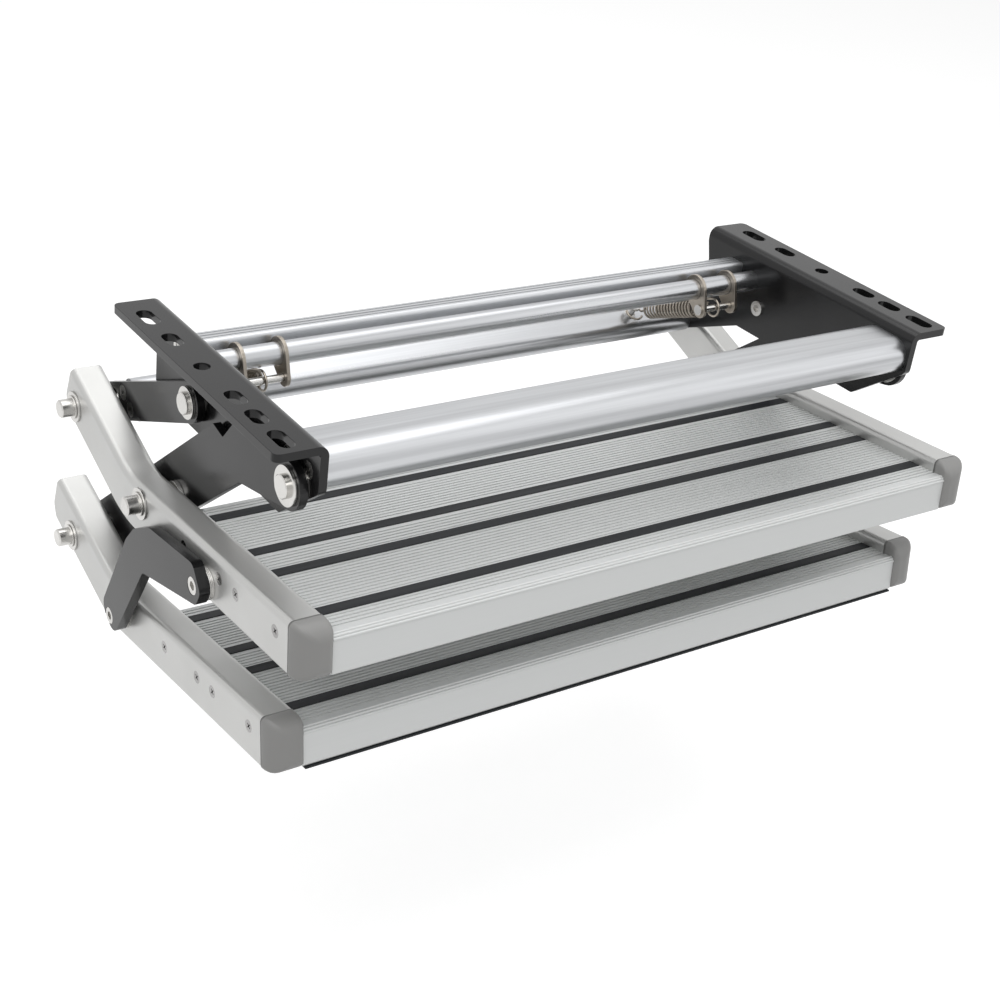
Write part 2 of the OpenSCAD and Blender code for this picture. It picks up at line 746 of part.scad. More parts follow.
// Straight and bent lengths of a rail, grown by a negative amount for the inside
module rail_body(grow, tail, over) {
    mid_x = rail_x + rail_w / 2;
    translate([mid_x, bend_start, rail_mid]) rotate([90, 0, 0])
        linear_extrude(bend_start - cap_joint + over) rail_section(grow);
    translate([0, bend_start, rail_mid + rail_bend_r]) rotate([0, 90, 0])
        rotate_extrude(angle = rail_bend, $fn = 96) translate([rail_bend_r, mid_x]) rotate(90)
            rail_section(grow);
    at_tail() translate([mid_x, tail + over, 0]) rotate([90, 0, 0])
        linear_extrude(tail + over) rail_section(grow);
}

// What is cut off behind the tail's end, whose lower corner slopes
module tail_waste(tail) {
    half = rail_h / 2;
    at_tail() difference() {
        translate([rail_x - 1, 0, -rail_h]) cube([rail_w + 2, tail + rail_h, 2 * rail_h]);
        side_plate(rail_x - 2, rail_w + 4) polygon(rounded([[-rail_h, -rail_h],
            [tail - tail_slope_y, -half - 1], [tail, tail_slope_z - half], [tail, half + 1],
            [-rail_h, half + 1]], [0, tail_r, tail_r, 0, 0]));
    }
}

module rail(front, tilt, tail, holes, bolt_hole, bolt_hole_d) {
    color("gainsboro") difference() {
        at_tread(front, tilt) difference() {
            rail_body(0, tail, 0);
            rail_body(-rail_wall, tail, 1);
            tail_waste(tail);
            for (b = ports_b) flat_screw_hole([b, rail_screw_u], rail_screw_d, rail_out, rail_w + 1);
        }
        for (c = holes) rod(c, stud_d + 2 * fit, rail_x - 1, rail_out + 1);
        rod(bolt_hole, bolt_hole_d, rail_out - rail_wall - 1, rail_out + 1);
    }
}

module cap(front, tilt) {
    low = rail_mid - rail_h / 2;
    high = rail_mid + rail_h / 2;
    mid_x = rail_x + rail_w / 2;
    color("gray") at_tread(front, tilt) {
        intersection() {
            translate([mid_x, cap_joint, rail_mid]) rotate([90, 0, 0])
                linear_extrude(cap_joint + cap_nose) rail_section(0);
            side_plate(rail_x - 1, rail_w + 2) {
                translate([cap_top_r - cap_nose, high - cap_top_r]) circle(r = cap_top_r);
                translate([cap_low_r - cap_nose, low + cap_low_r]) circle(r = cap_low_r);
                polygon([[-cap_nose, low + cap_low_r], [cap_low_r - cap_nose, low], [cap_joint, low],
                    [cap_joint, high], [cap_top_r - cap_nose, high], [-cap_nose, high - cap_top_r]]);
            }
        }
        difference() {
            translate([mid_x, cap_joint + cap_plug, rail_mid]) rotate([90, 0, 0])
                linear_extrude(cap_plug + eps) rail_section(-rail_wall - fit);
            translate([mid_x, cap_joint + cap_plug + 1, rail_mid]) rotate([90, 0, 0])
                linear_extrude(cap_plug + 1) rail_section(-2 * rail_wall - fit);
        }
    }
}

module rail_plug(front, tilt, tail) {
    color("darkgray") at_tread(front, tilt) difference() {
        at_tail() translate([rail_x + rail_w / 2, tail, 0]) rotate([90, 0, 0])
            linear_extrude(plug_depth) rail_section(-rail_wall - fit);
        tail_waste(tail - plug_inset);
    }
}

module rail_screws(front, tilt) {
    color("lightgray") both_sides() at_tread(front, tilt) for (b = ports_b)
        flat_screw([b, rail_screw_u], rail_screw_d, rail_out - screw_inset, rail_w + tread_bite);
}

// Studs that carry the rails on the arms

// Stud with its head on the inner face of the arm or link
module stud(c) {
    groove = rail_out + fit + rail_washer_t + fit;
    chamfer = 1;
    difference() {
        union() {
            rod(c, stud_head_d, arm_x - side_fit - stud_head_t, arm_x - side_fit);
            rod(c, stud_d, arm_x - side_fit - eps, stud_len_x - chamfer);
            translate([stud_len_x - chamfer - eps, c.x, c.y]) rotate([0, 90, 0])
                cylinder(d1 = stud_d, d2 = stud_d - 2 * chamfer, h = chamfer);
        }
        ring(c, stud_d + 2, stud_d - 2 * groove_depth, groove, groove + clip_t + fit);
    }
}

module stud_washers(c) {
    bore = stud_d + 2 * fit;
    ring(c, washer_d, bore, arm_out + side_fit, rail_x - side_fit);
    ring(c, washer_d, bore, rail_out + fit, rail_out + fit + rail_washer_t);
}

module stud_clip(c) {
    groove = rail_out + 2 * fit + rail_washer_t + fit / 2;
    difference() {
        ring(c, clip_d, stud_d - 2 * groove_depth + 2 * fit, groove, groove + clip_t);
        translate([groove - 1, c.x - stud_d / 3, c.y - clip_d]) cube([clip_t + 2, stud_d / 1.5, clip_d]);
    }
}

module studs(places) {
    color("lightgray") both_sides() for (c = places) stud(c);
}

module washers(places) {
    color("lightgray") both_sides() for (c = places) stud_washers(c);
}

module clips(places) {
    color("darkgray") both_sides() for (c = places) stud_clip(c);
}

// Hook links between the two steps

function hook_outline() = [
    hook_bolt + [0, 17.5], upper_stud + [-39.3, 4], upper_stud + [-14.3, -10.5], upper_stud + [-1.3, -26],
    hook_end + [14, 3], hook_end + [-9.5, -12.5], upper_stud + [-30.8, -38],
    hook_bolt + [-7, -11.5], hook_bolt + [-13, 1]
];

module hook_link() {
    color("dimgray") difference() {
        side_plate(hook_x, hook_t)
            polygon(rounded(hook_outline(), [8, 20, 12, 12, 11, 10, 6, 6, 6]));
        for (c = [hook_bolt, hook_end]) {
            rod(c, hook_bolt_d + 2 * fit, hook_x - 1, hook_out + 1);
            rod(c, hook_head_d + 2 * fit, hook_out - hook_head_t, hook_out + 1);
        }
    }
}

module hook_bolts() {
    tip = rail_out - rail_wall - fit - hook_nut_t - 1;
    color("lightgray") both_sides() for (c = [hook_bolt, hook_end]) difference() {
        union() {
            rod(c, hook_bolt_d, tip, hook_out - hook_head_t + eps);
            rod(c, hook_head_d, hook_out - hook_head_t + eps, hook_out - 0.2);
        }
        translate([hook_out - socket_depth, c.x, c.y]) rotate([0, 90, 0])
            cylinder(d = socket_d, h = socket_depth + 1, $fn = 6);
    }
}

module hook_nuts() {
    high = rail_out - rail_wall - 2 * fit;
    color("silver") both_sides() for (c = [hook_bolt, hook_end]) difference() {
        translate([high - hook_nut_t, c.x, c.y]) rotate([0, 90, 0])
            cylinder(d = hook_nut_d, h = hook_nut_t, $fn = 6);
        rod(c, hook_bolt_d + 2 * fit, high - hook_nut_t - 1, high + 1);
    }
}

module hook_washers() {
    color("lightgray") both_sides() for (c = [hook_bolt, hook_end], k = [0:2])
        ring(c, washer_d, hook_bolt_d + 2 * fit, rail_out + fit + k * (hook_washer_t + fit / 2),
            rail_out + fit + k * (hook_washer_t + fit / 2) + hook_washer_t);
}

module edge_trim(front, tilt) {
    color("darkslategray") at_tread(front, tilt)
        translate([1 - rail_x, trim_set_back, nose_r - tread_h - trim_t])
            cube([2 * rail_x - 2, trim_w, trim_t]);
}

module mirrored() {
    mirror([1, 0, 0]) children();
}

upper_bolt_d = hook_bolt_d + 2 * pin_fit;
lower_bolt_d = hook_bolt_d + 2 * hook_bolt_play;
upper_places = [upper_stud, rear_stud];
upper_end = tail_length(upper_front, upper_tilt, rear_stud, upper_tail);
lower_end = tail_length(lower_front, lower_tilt, lower_stud, lower_tail);

mirrored() bracket();  // left_bracket
bracket();  // right_bracket
front_cross_tube();
rear_flat_tube();
rear_round_tube();
cross_tube_screws();
mirrored() spring_saddle();  // left_spring_saddle
spring_saddle();  // right_spring_saddle
spring_pins();
bracket_pins();
bracket_washers();
mirrored() spring();  // left_spring
spring();  // right_spring
mirrored() long_arm();  // left_long_arm
long_arm();  // right_long_arm
mirrored() short_link();  // left_short_link
short_link();  // right_short_link
link_cross_tube();
link_tube_screws();
spring_anchor_screws();
tread(upper_front, upper_tilt);  // upper_tread
grip_strips(upper_front, upper_tilt);  // upper_grip_strips
mirrored() rail(upper_front, upper_tilt, upper_end, upper_places, hook_bolt, upper_bolt_d);  // upper_left_rail
rail(upper_front, upper_tilt, upper_end, upper_places, hook_bolt, upper_bolt_d);  // upper_right_rail
mirrored() cap(upper_front, upper_tilt);  // upper_left_cap
cap(upper_front, upper_tilt);  // upper_right_cap
both_sides() rail_plug(upper_front, upper_tilt, upper_end);  // upper_rail_plugs
rail_screws(upper_front, upper_tilt);  // upper_rail_screws
studs(upper_places);  // upper_studs
washers(upper_places);  // upper_stud_washers
clips(upper_places);  // upper_stud_clips
tread(lower_front, lower_tilt);  // lower_tread
grip_strips(lower_front, lower_tilt);  // lower_grip_strips
mirrored() rail(lower_front, lower_tilt, lower_end, [lower_stud], hook_end, lower_bolt_d);  // lower_left_rail
rail(lower_front, lower_tilt, lower_end, [lower_stud], hook_end, lower_bolt_d);  // lower_right_rail
mirrored() cap(lower_front, lower_tilt);  // lower_left_cap
cap(lower_front, lower_tilt);  // lower_right_cap
both_sides() rail_plug(lower_front, lower_tilt, lower_end);  // lower_rail_plugs
rail_screws(lower_front, lower_tilt);  // lower_rail_screws
studs([lower_stud]);  // lower_studs
washers([lower_stud]);  // lower_stud_washers
clips([lower_stud]);  // lower_stud_clips
edge_trim(lower_front, lower_tilt);  // lower_edge_trim
mirrored() hook_link();  // left_hook_link
hook_link();  // right_hook_link
hook_bolts();
hook_nuts();
hook_washers();
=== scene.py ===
import math

import bpy
from mathutils import Matrix, Vector


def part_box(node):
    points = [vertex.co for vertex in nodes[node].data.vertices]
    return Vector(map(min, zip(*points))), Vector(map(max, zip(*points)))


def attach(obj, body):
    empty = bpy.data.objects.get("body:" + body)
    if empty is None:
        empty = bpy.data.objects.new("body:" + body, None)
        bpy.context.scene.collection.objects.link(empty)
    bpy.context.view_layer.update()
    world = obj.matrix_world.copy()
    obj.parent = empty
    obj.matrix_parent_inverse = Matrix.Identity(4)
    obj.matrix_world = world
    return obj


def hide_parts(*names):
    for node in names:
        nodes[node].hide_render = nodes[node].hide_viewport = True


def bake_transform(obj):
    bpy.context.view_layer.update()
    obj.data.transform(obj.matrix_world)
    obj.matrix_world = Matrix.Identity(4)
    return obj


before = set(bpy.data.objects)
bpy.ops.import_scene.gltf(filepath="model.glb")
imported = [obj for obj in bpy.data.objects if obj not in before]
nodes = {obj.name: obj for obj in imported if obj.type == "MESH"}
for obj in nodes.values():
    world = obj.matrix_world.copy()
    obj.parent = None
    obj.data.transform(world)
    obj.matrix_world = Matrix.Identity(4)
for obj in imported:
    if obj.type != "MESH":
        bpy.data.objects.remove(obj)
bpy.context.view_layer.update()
print("frame loaded:", len(nodes), "nodes")


def deselectAll():
    bpy.ops.object.select_all(action="DESELECT")


def pick(piece):
    deselectAll()
    piece.select_set(True)
    bpy.context.view_layer.objects.active = piece


# shader groups that several finishes share

def newGroup(name, inputs, outputs):
    group = bpy.data.node_groups.new(name, "ShaderNodeTree")
    for label, kind, value in inputs:
        socket = group.interface.new_socket(name=label, in_out="INPUT", socket_type=kind)
        socket.default_value = value
    for label, kind in outputs:
        group.interface.new_socket(name=label, in_out="OUTPUT", socket_type=kind)
    return group, group.nodes.new("NodeGroupInput"), group.nodes.new("NodeGroupOutput")


def noiseAt(tree, vector, scale, detail=2.0, rough=0.5):
    noise = tree.nodes.new("ShaderNodeTexNoise")
    noise.inputs["Scale"].default_value = scale
    noise.inputs["Detail"].default_value = detail
    noise.inputs["Roughness"].default_value = rough
    tree.links.new(vector, noise.inputs["Vector"])
    return noise


def remap(tree, value, low, high, outLow, outHigh):
    node = tree.nodes.new("ShaderNodeMapRange")
    node.inputs["From Min"].default_value = low
    node.inputs["From Max"].default_value = high
    tree.links.new(value, node.inputs["Value"])
    for label, target in (("To Min", outLow), ("To Max", outHigh)):
        if isinstance(target, float):
            node.inputs[label].default_value = target
        else:
            tree.links.new(target, node.inputs[label])
    return node.outputs["Result"]


def times(tree, a, b):
    node = tree.nodes.new("ShaderNodeMath")
    node.operation = "MULTIPLY"
    tree.links.new(a, node.inputs[0])
    tree.links.new(b, node.inputs[1])
    return node.outputs[0]


def shaded(tree, amount, color, dark):
    node = tree.nodes.new("ShaderNodeMix")
    node.data_type = "RGBA"
    node.inputs["B"].default_value = dark
    tree.links.new(amount, node.inputs["Factor"])
    tree.links.new(color, node.inputs["A"])
    return node.outputs["Result"]


finishOutputs = [("Color", "NodeSocketColor"), ("Roughness", "NodeSocketFloat"),
                 ("Height", "NodeSocketFloat")]


def buildDrawnLines():
    # lines along one way, as extruding and drawing leave on aluminium
    group, start, end = newGroup(
        "drawnLines",
        [("Color", "NodeSocketColor", (0.7, 0.7, 0.7, 1)),
         ("Stretch", "NodeSocketVector", (4, 900, 900)),
         ("Streak", "NodeSocketFloat", 0.1),
         ("Rough Low", "NodeSocketFloat", 0.25), ("Rough High", "NodeSocketFloat", 0.4)],
        finishOutputs)
    coords = group.nodes.new("ShaderNodeTexCoord").outputs["Object"]
    mapping = group.nodes.new("ShaderNodeMapping")
    group.links.new(coords, mapping.inputs["Vector"])
    group.links.new(start.outputs["Stretch"], mapping.inputs["Scale"])
    fine = noiseAt(group, mapping.outputs["Vector"], 1.0, 3.0, 0.6)
    broad = noiseAt(group, mapping.outputs["Vector"], 0.13, 2.0)
    both = group.nodes.new("ShaderNodeMath")
    both.operation = "ADD"
    group.links.new(fine.outputs["Fac"], both.inputs[0])
    group.links.new(broad.outputs["Fac"], both.inputs[1])
    shade = remap(group, both.outputs[0], 0.75, 1.25, 1.0, 0.0)
    amount = times(group, shade, start.outputs["Streak"])
    group.links.new(shaded(group, amount, start.outputs["Color"], (0.1, 0.1, 0.11, 1)),
                    end.inputs["Color"])
    group.links.new(remap(group, broad.outputs["Fac"], 0.3, 0.7, start.outputs["Rough Low"],
                          start.outputs["Rough High"]), end.inputs["Roughness"])
    group.links.new(fine.outputs["Fac"], end.inputs["Height"])
    return group


def buildFineGrain():
    # even grain, as powder coat, blasting and moulding leave
    group, start, end = newGroup(
        "fineGrain",
        [("Color", "NodeSocketColor", (0.5, 0.5, 0.5, 1)), ("Scale", "NodeSocketFloat", 900.0),
         ("Mottle", "NodeSocketFloat", 0.08),
         ("Rough Low", "NodeSocketFloat", 0.4), ("Rough High", "NodeSocketFloat", 0.5)],
        finishOutputs)
    coords = group.nodes.new("ShaderNodeTexCoord").outputs["Object"]
    grain = noiseAt(group, coords, 900.0, 3.0, 0.55)
    group.links.new(start.outputs["Scale"], grain.inputs["Scale"])
    cloud = noiseAt(group, coords, 22.0, 2.0)
    amount = times(group, remap(group, cloud.outputs["Fac"], 0.35, 0.65, 0.0, 1.0),
                   start.outputs["Mottle"])
    group.links.new(shaded(group, amount, start.outputs["Color"], (0, 0, 0, 1)),
                    end.inputs["Color"])
    group.links.new(remap(group, cloud.outputs["Fac"], 0.3, 0.7, start.outputs["Rough Low"],
                          start.outputs["Rough High"]), end.inputs["Roughness"])
    group.links.new(grain.outputs["Fac"], end.inputs["Height"])
    return group


groups = {"drawnLines": buildDrawnLines(), "fineGrain": buildFineGrain()}


def finish(name, pattern, color, metallic, bump, values, settings=None):
    material = bpy.data.materials.new(name)
    material.use_nodes = True
    tree = material.node_tree
    shader = tree.nodes["Principled BSDF"]
    shader.inputs["Metallic"].default_value = metallic
    for label, value in (settings or {}).items():
        shader.inputs[label].default_value = value
    group = tree.nodes.new("ShaderNodeGroup")
    group.node_tree = groups[pattern]
    group.inputs["Color"].default_value = (*color, 1)
    for label, value in values.items():
        group.inputs[label].default_value = value
    tree.links.new(group.outputs["Color"], shader.inputs["Base Color"])
    tree.links.new(group.outputs["Roughness"], shader.inputs["Roughness"])
    relief = tree.nodes.new("ShaderNodeBump")
    relief.inputs["Strength"].default_value = bump[0]
    relief.inputs["Distance"].default_value = bump[1]
    tree.links.new(group.outputs["Height"], relief.inputs["Height"])
    tree.links.new(relief.outputs["Normal"], shader.inputs["Normal"])
    return material


blackCoat = finish("blackCoat", "fineGrain", (0.009, 0.009, 0.0095), 0.0, (0.05, 0.0002),
                   {"Scale": 1400.0, "Mottle": 0.05, "Rough Low": 0.17, "Rough High": 0.24},
                   {"Specular IOR Level": 0.32})
treadMetal = finish("treadMetal", "drawnLines", (0.66, 0.672, 0.668), 0.2, (0.01, 0.0001),
                    {"Stretch": (3, 500, 500), "Streak": 0.02, "Rough Low": 0.36,
                     "Rough High": 0.42})
railMetal = finish("railMetal", "fineGrain", (0.56, 0.56, 0.548), 0.65, (0.03, 0.0001),
                   {"Scale": 2200.0, "Mottle": 0.02, "Rough Low": 0.34, "Rough High": 0.4})
tubeMetal = finish("tubeMetal", "drawnLines", (0.60, 0.61, 0.625), 1.0, (0.12, 0.0002),
                   {"Stretch": (3, 200, 200), "Streak": 0.3, "Rough Low": 0.26,
                    "Rough High": 0.42})
gripRubber = finish("gripRubber", "drawnLines", (0.016, 0.018, 0.02), 0.0, (0.3, 0.0003),
                    {"Stretch": (30, 900, 900), "Streak": 0.1, "Rough Low": 0.5,
                     "Rough High": 0.62}, {"Specular IOR Level": 0.2})
capPlastic = finish("capPlastic", "fineGrain", (0.27, 0.268, 0.262), 0.0, (0.15, 0.0002),
                    {"Scale": 1500.0, "Mottle": 0.03, "Rough Low": 0.42, "Rough High": 0.5})
plugPlastic = finish("plugPlastic", "fineGrain", (0.1, 0.1, 0.102), 0.0, (0.2, 0.0003),
                     {"Scale": 1500.0, "Mottle": 0.05, "Rough Low": 0.45, "Rough High": 0.55})
springWire = finish("springWire", "fineGrain", (0.40, 0.36, 0.31), 1.0, (0.05, 0.0002),
                    {"Scale": 1200.0, "Mottle": 0.25, "Rough Low": 0.24, "Rough High": 0.38})
turnedSteel = finish("turnedSteel", "fineGrain", (0.62, 0.61, 0.59), 1.0, (0.04, 0.0001),
                     {"Scale": 1800.0, "Mottle": 0.08, "Rough Low": 0.2, "Rough High": 0.3})
# the screws' steel is darker than the turned steel: painted shade, standing in for the shade in the
# recessed gap round the screw heads
screwSteelPaintedShade = finish("screwSteelPaintedShade", "fineGrain", (0.34, 0.335, 0.33), 1.0, (0.04, 0.0001),
                    {"Scale": 1800.0, "Mottle": 0.1, "Rough Low": 0.22, "Rough High": 0.32})
print("finishes ready")

# which finish each CAD node wears, and how far its edges are broken
dressing = {
    "blackCoat": {"material": blackCoat, "edge": 0.0007, "nodes": [
        "left_bracket", "right_bracket", "left_long_arm", "right_long_arm",
        "left_short_link", "right_short_link", "left_hook_link", "right_hook_link"]},
    "treads": {"material": treadMetal, "edge": 0.0, "nodes": ["upper_tread", "lower_tread"]},
    "rails": {"material": railMetal, "edge": 0.0, "nodes": [
        "upper_left_rail", "upper_right_rail", "lower_left_rail", "lower_right_rail"]},
    "tubes": {"material": tubeMetal, "edge": 0.0, "nodes": [
        "front_cross_tube", "rear_flat_tube", "rear_round_tube"]},
    "strips": {"material": gripRubber, "edge": 0.0003, "nodes": [
        "upper_grip_strips", "lower_grip_strips"]},
    "plugs": {"material": plugPlastic, "edge": 0.0003, "nodes": [
        "upper_rail_plugs", "lower_rail_plugs"]},
    "saddles": {"material": springWire, "edge": 0.0004, "nodes": [
        "left_spring_saddle", "right_spring_saddle"]},
    "screws": {"material": screwSteelPaintedShade, "edge": 0.00025, "nodes": [
        "link_tube_screws", "upper_rail_screws", "lower_rail_screws"]},
    "hardware": {"material": turnedSteel, "edge": 0.00025, "nodes": [
        "cross_tube_screws", "spring_pins", "bracket_pins", "bracket_washers",
        "upper_studs", "lower_studs", "upper_stud_washers", "lower_stud_washers",
        "upper_stud_clips", "lower_stud_clips", "hook_bolts", "hook_nuts", "hook_washers"]},
}


def breakEdges(node, width):
    weld = node.modifiers.new("joined", "WELD")
    weld.merge_threshold = 0.000005
    merged = node.modifiers.new("wholeFaces", "DECIMATE")
    merged.decimate_type = "DISSOLVE"
    merged.angle_limit = math.radians(0.5)
    bevel = node.modifiers.new("brokenEdges", "BEVEL")
    bevel.width = width
    bevel.segments = 2
    bevel.limit_method = "ANGLE"
    bevel.angle_limit = math.radians(50)
    bevel.use_clamp_overlap = True
    flat = node.modifiers.new("flatFaces", "WEIGHTED_NORMAL")
    flat.mode = "FACE_AREA"
    flat.weight = 80
    flat.keep_sharp = True


for part in dressing.values():
    for name in part["nodes"]:
        nodes[name].data.materials.clear()
        nodes[name].data.materials.append(part["material"])
        if part["edge"] > 0:
            breakEdges(nodes[name], part["edge"])
print("CAD nodes dressed")

springSizes = {
    "wire": 0.002,
    "outside": 0.017,
    "pitch": 0.0034,
    "hook": 0.022,
    "eyeShift": 0.0031,
    "eyeStep": 10,
    "pointsPerTurn": 20,
    "anchor": (0.205, 0.138265, -0.080838),
    "anchorUp": (0, -0.5, 0.8660254),
}


def springRoute(start, startAxis, end, endAxis):
    s = springSizes
    way = (end - start).normalized()
    length = (end - start).length
    side = Vector((1, 0, 0)).cross(way).normalized()
    up = way.cross(side)
    turns = int((length - 2 * s["hook"]) / s["pitch"])
    rise = (length - 2 * s["hook"]) / turns
    radius = (s["outside"] - s["wire"]) / 2

    def eye(center, axis, toCoil):
        across = (toCoil - toCoil.dot(axis) * axis).normalized()
        other = axis.cross(across)
        middle = center + s["eyeShift"] * across
        return [middle + radius * (math.cos(a) * across + math.sin(a) * other)
                for a in (math.radians(d) for d in range(400, 89, -s["eyeStep"]))]

    def lead(ring, coilEnd, coilNext):
        # smooth way from the ring's last point to the coil's first one
        pull = 0.7 * (coilEnd - ring[-1]).length
        out = (ring[-1] - ring[-2]).normalized() * pull
        into = (coilNext - coilEnd).normalized() * pull
        points = []
        for k in range(1, 12):
            u = k / 12
            points.append((2 * u ** 3 - 3 * u ** 2 + 1) * ring[-1] + (u ** 3 - 2 * u ** 2 + u) * out
                          + (3 * u ** 2 - 2 * u ** 3) * coilEnd + (u ** 3 - u ** 2) * into)
        return points

    coil = []
    for k in range(turns * s["pointsPerTurn"] + 1):
        a = 2 * math.pi * k / s["pointsPerTurn"]
        along = s["hook"] + rise * k / s["pointsPerTurn"]
        coil.append(start + radius * (math.cos(a) * side + math.sin(a) * up) + along * way)
    first = eye(start, startAxis, way)
    last = eye(end, endAxis, -way)
    route = first + lead(first, coil[0], coil[1]) + coil
    return route + (last + lead(last, coil[-1], coil[-2]))[::-1], coil[0], coil[-1]


def makeSpring(name, route):
    bpy.ops.object.add(type="CURVE", location=(0, 0, 0))
    piece = bpy.context.object
    piece.name = name
    curve = piece.data
    curve.dimensions = "3D"
    curve.bevel_depth = springSizes["wire"] / 2
    curve.bevel_resolution = 2
    curve.use_fill_caps = True
    spline = curve.splines.new("POLY")
    spline.points.add(len(route) - 1)
    for point, place in zip(spline.points, route):
        point.co = (*place, 1)
    pick(piece)
    bpy.ops.object.convert(target="MESH")
    piece = bpy.context.view_layer.objects.active
    bpy.ops.object.shade_smooth()
    piece.data.materials.clear()
    piece.data.materials.append(springWire)
    return piece


linkTubeSizes = {
    "half": (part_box("link_cross_tube")[1][0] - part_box("link_cross_tube")[0][0]) / 2,
    "middle": (0, 0.146265, -0.094695),
    "slope": 30,
    "width": 0.036,
    "height": 0.020,
    "wall": 0.0025,
    "pointsPerEnd": 24,
}
anchorSizes = {
    "shank": 0.003,
    "head": 0.005,
    "headThick": 0.003,
    "washerThick": 0.0015,
    "foot": -0.0025,
    "neck": 0.010,
    "rise": 0.006,
    "faces": 40,
}


def makeLinkTube():
    # the tube between the short links, drawn as a flat oval outline with its bore
    s = linkTubeSizes
    bpy.ops.object.add(type="CURVE", location=(0, 0, 0))
    piece = bpy.context.object
    piece.name = "linkTube"
    outline = piece.data
    outline.dimensions = "2D"
    outline.fill_mode = "BOTH"
    outline.extrude = s["half"]
    for inset in (0.0, s["wall"]):
        radius = s["height"] / 2 - inset
        reach = (s["width"] - s["height"]) / 2
        ring = [(sign * reach + radius * math.cos(a), radius * math.sin(a))
                for sign, first in ((1, -90), (-1, 90))
                for a in (math.radians(first + 180 * k / s["pointsPerEnd"])
                          for k in range(s["pointsPerEnd"] + 1))]
        spline = outline.splines.new("POLY")
        spline.use_cyclic_u = True
        spline.points.add(len(ring) - 1)
        for point, (u, v) in zip(spline.points, ring):
            point.co = (u, v, 0, 1)
    pick(piece)
    bpy.ops.object.convert(target="MESH")
    piece = bpy.context.view_layer.objects.active
    slope = math.radians(s["slope"])
    flatWay = Vector((0, math.cos(slope), math.sin(slope)))
    upWay = Vector((0, -math.sin(slope), math.cos(slope)))
    turnTube = Matrix((flatWay, upWay, Vector((1, 0, 0)))).transposed().to_4x4()
    piece.matrix_world = Matrix.Translation(s["middle"]) @ turnTube
    bpy.ops.object.transform_apply(location=True, rotation=True, scale=True)
    piece.data.materials.clear()
    piece.data.materials.append(tubeMetal)
    return piece


def makeAnchors():
    # screws that stand square on the tube and hold the springs' rear loops
    s = anchorSizes
    slopeUp = Vector(springSizes["anchorUp"])
    parts = []
    for sign in (-1, 1):
        eye = Vector(springSizes["anchor"])
        eye.x *= sign
        foot = eye - s["rise"] * slopeUp
        for radius, low, high in ((s["shank"], s["foot"], s["neck"]),
                                  (s["head"], 0.0, s["washerThick"]),
                                  (s["head"], s["neck"], s["neck"] + s["headThick"])):
            bpy.ops.mesh.primitive_cylinder_add(
                vertices=s["faces"], radius=radius, depth=high - low,
                location=foot + (low + high) / 2 * slopeUp,
                rotation=(math.radians(linkTubeSizes["slope"]), 0, 0))
            parts.append(bpy.context.object)
    deselectAll()
    for part in parts:
        part.select_set(True)
    bpy.context.view_layer.objects.active = parts[0]
    bpy.ops.object.join()
    piece = bpy.context.object
    piece.name = "anchorScrews"
    bpy.ops.object.transform_apply(location=True, rotation=True, scale=True)
    piece.data.materials.clear()
    piece.data.materials.append(turnedSteel)
    breakEdges(piece, 0.00025)
    return piece


linkTube = makeLinkTube()
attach(linkTube, "short_links")
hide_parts("link_cross_tube")
anchorScrews = makeAnchors()
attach(anchorScrews, "short_links")
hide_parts("spring_anchor_screws")
print("link tube and anchors made")

capSizes = {
    "length": 0.016,
    "height": 0.040,
    "corner": 0.004,
    "cornerSteps": 6,
    "topRound": 0.013,
    "lowRound": 0.010,
    "outerRound": 0.016,
    "innerRound": 0.005,
    "sections": 10,
    "upper": {"tilt": -5, "front": -0.17514, "low": -0.15066},
    "lower": {"tilt": -8, "front": -0.12879, "low": -0.24517},
}


def roundedOff(radius, depth):
    # how far a rounded edge has drawn in, at a depth behind the front
    away = max(0.0, radius - depth)
    return radius - math.sqrt(radius ** 2 - away ** 2)


